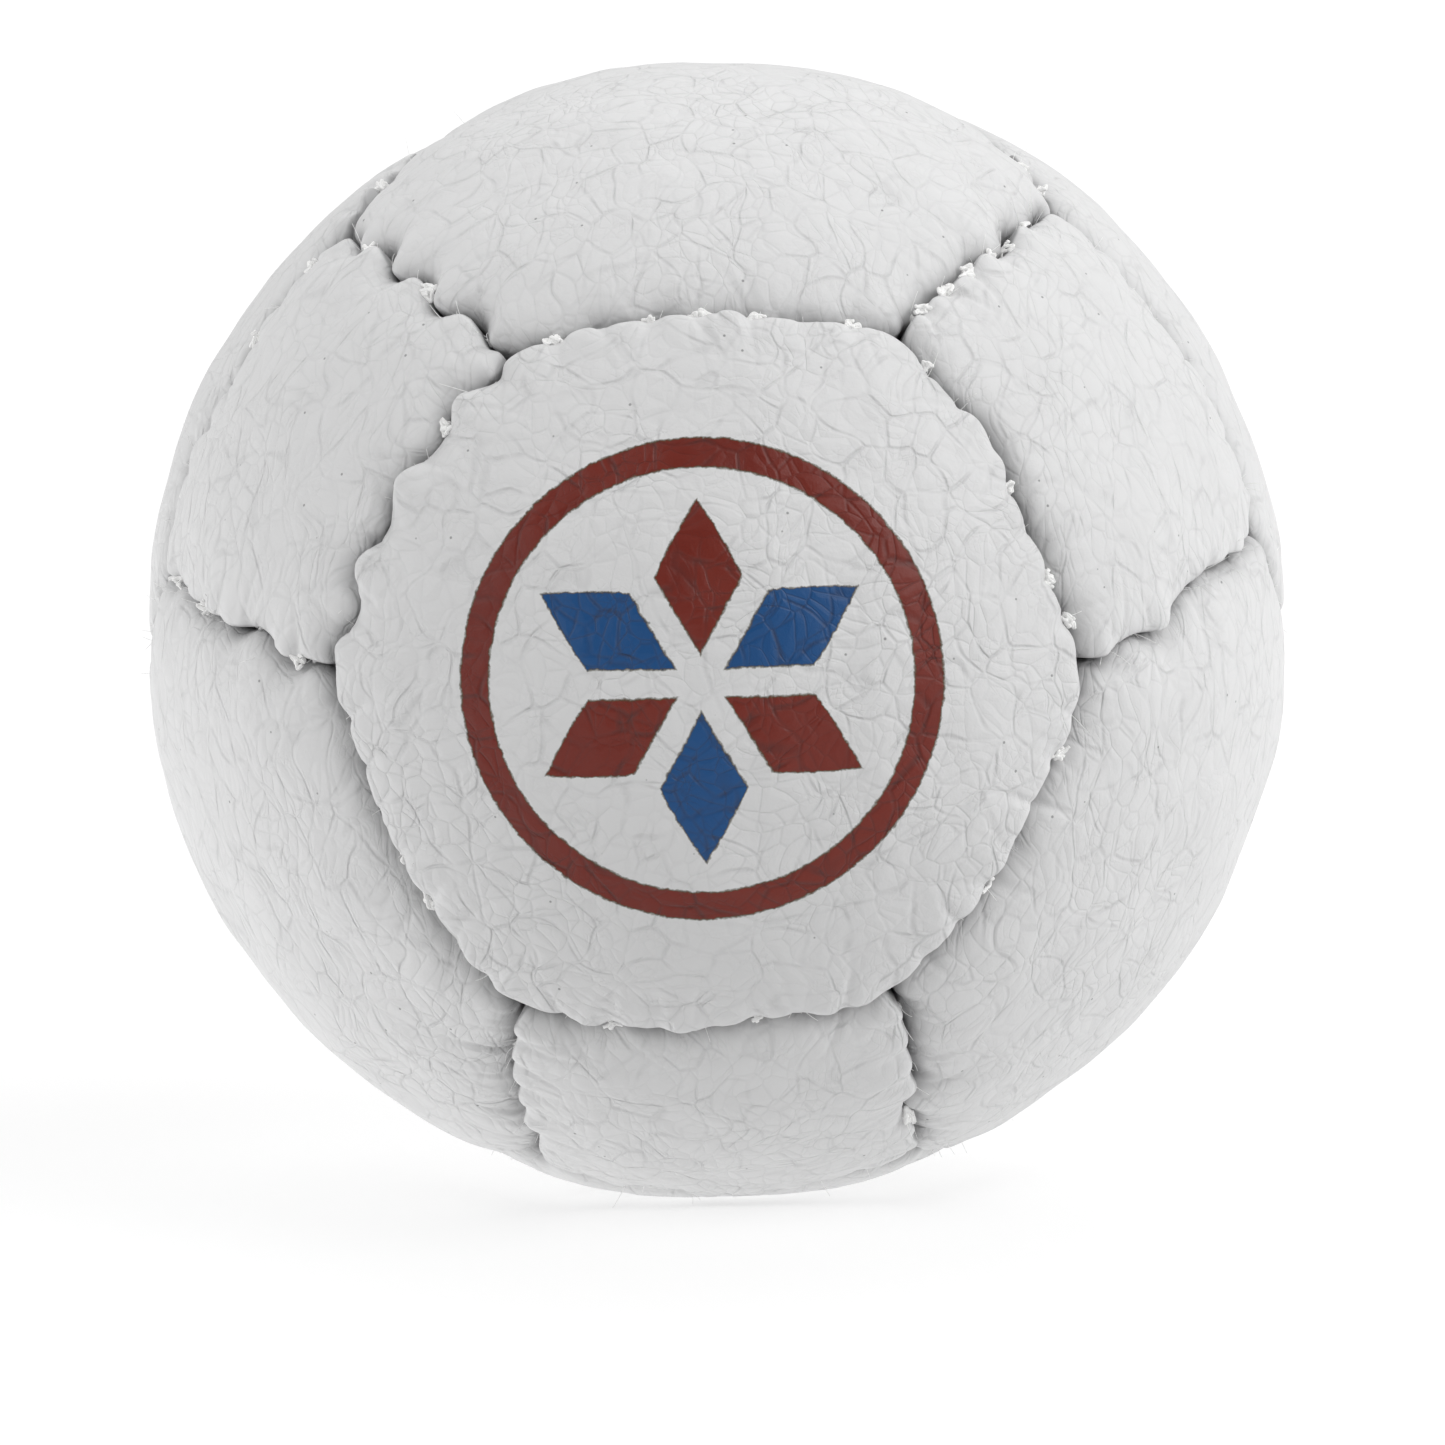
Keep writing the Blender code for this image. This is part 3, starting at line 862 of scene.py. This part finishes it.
def granule_body(seed):
    """Packed granules: a lobe behind each panel, knobbly with the grains."""
    rng = np.random.default_rng(seed)
    mesh = bpy.data.meshes.new("granule_grid")
    bm = bmesh.new()
    bmesh.ops.create_icosphere(bm, subdivisions=6, radius=1.0)
    bm.to_mesh(mesh)
    bm.free()
    n = np.empty(len(mesh.vertices) * 3, np.float32)
    mesh.vertices.foreach_get("co", n)
    n = unit(n.reshape(-1, 3).astype(float))
    triangles = np.empty(len(mesh.polygons) * 3, np.int32)
    mesh.loops.foreach_get("vertex_index", triangles)
    bpy.data.meshes.remove(mesh)
    walls = np.array([seam.wall for seam in SEAMS.values()])
    middles = np.array([seam.middle for seam in SEAMS.values()])
    from_walls = np.abs(RADIUS * np.arcsin(np.clip(n @ walls.T, -1, 1)))
    alongside = n @ middles.T > math.cos(HALF_SEAM_TURN)
    d = np.where(alongside, from_walls, 99.0).min(1)
    grains = unit(rng.normal(size=(GRAINS, 3)))
    nearest = np.full(len(n), -1.0)
    for part in np.array_split(grains, 13):
        nearest = np.maximum(nearest, (n @ part.T).max(1))
    gap = RADIUS * np.arccos(np.clip(nearest, -1, 1))
    knob = GRAIN_HEIGHT * np.sqrt(np.clip(1 - (gap / GRAIN_RADIUS) ** 2, 0, 1))
    groove = GROOVE_DEPTH * np.exp(-((d / GROOVE_HALF_WIDTH) ** 4))
    radius = RADIUS - LEATHER - FILL_CLEARANCE - groove + knob * (d > SMOOTH_HALF_WIDTH)
    points = n * radius[:, None]
    points[:, 2] = np.maximum(points[:, 2], -CENTRE_HEIGHT + LEATHER + FILL_REST_CLEARANCE)
    return points, triangles.reshape(-1, 3)


def place_fill():
    points, triangles = granule_body(7)
    granules = mesh_object("packed_granule_body", make_granule_material(), draw_askew(points), triangles)
    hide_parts("granule_fill")
    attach(granules, "root")


def place_panel(panel, material):
    width, length, area = panel.cut()
    points, triangles, quads, shade = panel_surface(panel)
    cover = mesh_object(f"leather_{panel.name}", material, settle(points), triangles, quads, shade)
    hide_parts(f"panel_{panel.name}")
    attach(cover, "root")


def place_thread(seam, between, material, seed):
    points, triangles, quads = lacing(seam, seed)
    thread = mesh_object(f"lacing_{between}", material, settle(points), triangles, quads)
    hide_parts(f"thread_{between}")
    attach(thread, "root")


# Floor, light and camera
FLOOR_HALF_SIZE = 3.0
FLOOR_DARK, FLOOR_LIGHT = (0.5, 0.5, 0.5, 1), (0.52, 0.52, 0.52, 1)
FLOOR_GLOW = 0.56
CAMERA_DISTANCE = 14.55 * RADIUS * MM
CAMERA_ELEVATION = math.radians(4.9)
CAMERA_RIGHT = math.radians(1.6)
CAMERA_ROLL = math.radians(-1.5)
AIM_BELOW = math.radians(0.634)
AIM_RIGHT = math.radians(0.042)
LENS = 206.0


def make_floor():
    material, nodes, surface = new_material("studio_floor", 0.9, 0.0)
    where = nodes.add("ShaderNodeTexCoord").outputs["Object"]
    tone = nodes.mix(nodes.noise(where, 3.0, 2.0), FLOOR_DARK, FLOOR_LIGHT)
    nodes.link(tone, surface.inputs["Base Color"])
    surface.inputs["Emission Color"].default_value = (1, 1, 1, 1)
    surface.inputs["Emission Strength"].default_value = FLOOR_GLOW
    size = FLOOR_HALF_SIZE
    mesh = bpy.data.meshes.new("studio_floor")
    corners = [(-size, -size, 0), (size, -size, 0), (size, size, 0), (-size, size, 0)]
    mesh.from_pydata(corners, [], [(0, 1, 2, 3)])
    floor = bpy.data.objects.new("studio_floor", mesh)
    mesh.materials.append(material)
    bpy.context.scene.collection.objects.link(floor)
    floor.visible_diffuse = False


# Soft lights all round: where each is, seen from the ball, how narrow and how bright
GLOWS = (
    ((0.7, -0.5, 0.5), 10, 3.3),
    ((-0.7, -0.5, 0.5), 10, 1.5),
    ((0.0, 0.6, 0.8), 4, 1.1),
    ((0.0, 0.3, -0.9), 3, 1.32),
    ((-0.95, 0.15, -0.3), 4, 1.62),
    ((0.95, 0.3, -0.1), 4, 1.05),
    ((0.0, 1.0, 0.0), 3, 0.15),
)
DIMMEST = 0.18
BACKDROP = 1.05  # how bright the world is where the camera sees it


def make_world():
    """Soft glows all round the ball, and plain white behind it."""
    world = bpy.data.worlds.new("studio")
    bpy.context.scene.world = world
    world.use_nodes = True
    nodes = Nodes(world.node_tree)
    background = world.node_tree.nodes["Background"]
    outward = nodes.add("ShaderNodeTexCoord").outputs["Generated"]
    bright = DIMMEST
    for place, narrow, strength in GLOWS:
        toward = nodes.add("ShaderNodeVectorMath", operation="DOT_PRODUCT")
        nodes.link(outward, toward.inputs[0])
        toward.inputs[1].default_value = tuple(unit(np.array(place)))
        near = nodes.math("POWER", nodes.math("MAXIMUM", toward.outputs["Value"], 0.0), narrow)
        bright = nodes.math("MULTIPLY_ADD", near, strength, bright)
    seen = nodes.add("ShaderNodeLightPath").outputs["Is Camera Ray"]
    bright = nodes.math("MAXIMUM", bright, nodes.math("MULTIPLY", seen, BACKDROP))
    nodes.link(bright, background.inputs["Strength"])
    background.inputs["Color"].default_value = (1, 1, 1, 1)


def make_camera():
    data = bpy.data.cameras.new("camera")
    data.lens = LENS
    data.sensor_width = 36.0
    data.clip_start = 0.01
    data.clip_end = 20
    camera = bpy.data.objects.new("camera", data)
    centre = Vector((0, 0, CENTRE_HEIGHT * MM))
    facing = Matrix.Rotation(CAMERA_RIGHT, 4, "Z") @ Matrix.Rotation(math.pi / 2 - CAMERA_ELEVATION, 4, "X")
    away = Matrix.Translation((0, 0, CAMERA_DISTANCE))
    roll = Matrix.Rotation(CAMERA_ROLL, 4, "Z")
    aim = Matrix.Rotation(-AIM_RIGHT, 4, "Y") @ Matrix.Rotation(-AIM_BELOW, 4, "X")
    camera.matrix_world = Matrix.Translation(centre) @ facing @ away @ roll @ aim
    bpy.context.scene.collection.objects.link(camera)
    bpy.context.scene.camera = camera


place_fill()
leather = make_leather("white_grained_leather", printed=False)
printed_leather = make_leather("printed_grained_leather", printed=True)
for number, (panel_name, panel_place) in enumerate(PANELS.items()):
    panel = Panel(panel_name, panel_place, number)
    if panel_name == "front":
        place_panel(panel, printed_leather)
    else:
        place_panel(panel, leather)
thread_material = make_thread_material()
for number, (key, beside) in enumerate(SEAM_PANELS.items()):
    (first, _), (second, _) = beside
    place_thread(SEAMS[key], f"{first}_to_{second}", thread_material, seed=5000 + number)

make_floor()
make_world()
make_camera()
bpy.context.scene.view_settings.view_transform = "Standard"
